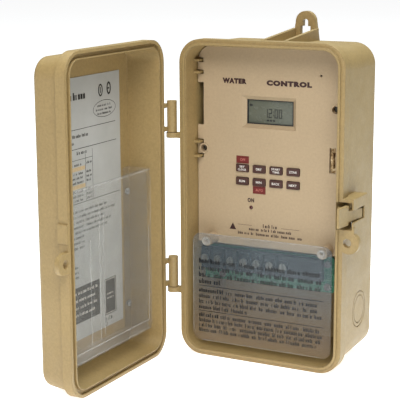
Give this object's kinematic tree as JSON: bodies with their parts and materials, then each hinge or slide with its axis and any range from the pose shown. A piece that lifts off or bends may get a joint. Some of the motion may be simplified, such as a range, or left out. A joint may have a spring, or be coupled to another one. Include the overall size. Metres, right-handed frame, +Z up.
{
  "type": "irrigation controller",
  "caption": "Wall-mounted irrigation timer in a rain-tight plastic case with a hinged door, keypad and display panel, terminals and a clear wiring guard.",
  "frame": {"origin": "centre of the flat back of the case, on the wall", "axes": "+Z up, +X to the right seen from the front, +Y into the wall, so the front faces -Y"},
  "size_m": [0.1883, 0.2237, 0.2668],
  "materials": {
    "case_plastic": "fine texture",
    "pin_steel": "turned",
    "spring_steel": "drawn wire",
    "panel_plastic": "satin",
    "mat_rubber": "matte",
    "display_glass": "gloss",
    "contact_rubber": "matte",
    "lamp_plastic": "gloss",
    "board_laminate": "satin",
    "chip_plastic": "matte",
    "battery_steel": "satin",
    "switch_plastic": "matte",
    "relay_plastic": "satin",
    "transformer_iron": "satin",
    "capacitor_sleeve": "gloss",
    "ribbon_plastic": "satin",
    "terminal_plastic": "satin",
    "terminal_brass": "satin",
    "screw_steel": "zinc",
    "clip_brass": "satin",
    "clear_sheet": "clear",
    "rivet_nylon": "satin",
    "clear_pouch": "clear",
    "label_paper": "paper film",
    "key_plastic": "satin"
  },
  "bodies": {
    "case": {"box_shell": "case_plastic", "hinge_pins": "pin_steel", "latch_pin": "pin_steel", "latch_spring": "spring_steel", "faceplate": "panel_plastic", "keypad_mat": "mat_rubber", "lcd_display": "display_glass", "lcd_contacts": "contact_rubber", "power_led": "lamp_plastic", "logic_board": "board_laminate", "power_board": "board_laminate", "microcontroller": "chip_plastic", "backup_battery": "battery_steel", "reset_switch": "switch_plastic", "relay": "relay_plastic", "transformer": "transformer_iron", "capacitors": "capacitor_sleeve", "ribbon_cable": "ribbon_plastic", "terminal_block": "terminal_plastic", "terminal_plates": "terminal_brass", "terminal_screws": "screw_steel", "faceplate_screws": "screw_steel", "logic_board_screws": "screw_steel", "power_board_screws": "screw_steel", "terminal_board": "board_laminate", "terminal_board_screws": "screw_steel", "lcd_gasket": "contact_rubber", "retaining_clip": "clip_brass", "wiring_guard": "clear_sheet", "guard_rivets": "rivet_nylon"},
    "door": {"door_shell": "case_plastic", "document_pouch": "clear_pouch", "door_label": "label_paper", "pouch_rivets": "rivet_nylon"},
    "latch": {"latch_hasp": "case_plastic"},
    "key_1": {"key_1": "key_plastic"},
    "key_2": {"key_2": "key_plastic"},
    "key_3": {"key_3": "key_plastic"},
    "key_4": {"key_4": "key_plastic"},
    "key_5": {"key_5": "key_plastic"},
    "key_6": {"key_6": "key_plastic"},
    "key_7": {"key_7": "key_plastic"},
    "key_8": {"key_8": "key_plastic"}
  },
  "joints": [
    {"name": "door_swing", "type": "hinge", "parent": "case", "child": "door", "pos_m": [-0.0756, -0.068, 0], "axis": [0, 0, 1], "range_deg": [-70, 90]},
    {"name": "latch_rock", "type": "hinge", "parent": "case", "child": "latch", "pos_m": [0.0704, -0.058, 0.0004], "axis": [0, 0, 1], "range_deg": [0, 6], "stiffness_Nm_per_rad": 0.12, "deforming": ["latch_spring"]},
    {"name": "key_1_press", "type": "slide", "parent": "case", "child": "key_1", "axis": [0, 1, 0], "range_m": [0, 0.0007], "stiffness_N_per_m": 400},
    {"name": "key_2_press", "type": "slide", "parent": "case", "child": "key_2", "axis": [0, 1, 0], "range_m": [0, 0.0007], "stiffness_N_per_m": 400},
    {"name": "key_3_press", "type": "slide", "parent": "case", "child": "key_3", "axis": [0, 1, 0], "range_m": [0, 0.0007], "stiffness_N_per_m": 400},
    {"name": "key_4_press", "type": "slide", "parent": "case", "child": "key_4", "axis": [0, 1, 0], "range_m": [0, 0.0007], "stiffness_N_per_m": 400},
    {"name": "key_5_press", "type": "slide", "parent": "case", "child": "key_5", "axis": [0, 1, 0], "range_m": [0, 0.0007], "stiffness_N_per_m": 400},
    {"name": "key_6_press", "type": "slide", "parent": "case", "child": "key_6", "axis": [0, 1, 0], "range_m": [0, 0.0007], "stiffness_N_per_m": 400},
    {"name": "key_7_press", "type": "slide", "parent": "case", "child": "key_7", "axis": [0, 1, 0], "range_m": [0, 0.0007], "stiffness_N_per_m": 400},
    {"name": "key_8_press", "type": "slide", "parent": "case", "child": "key_8", "axis": [0, 1, 0], "range_m": [0, 0.0007], "stiffness_N_per_m": 400}
  ]
}
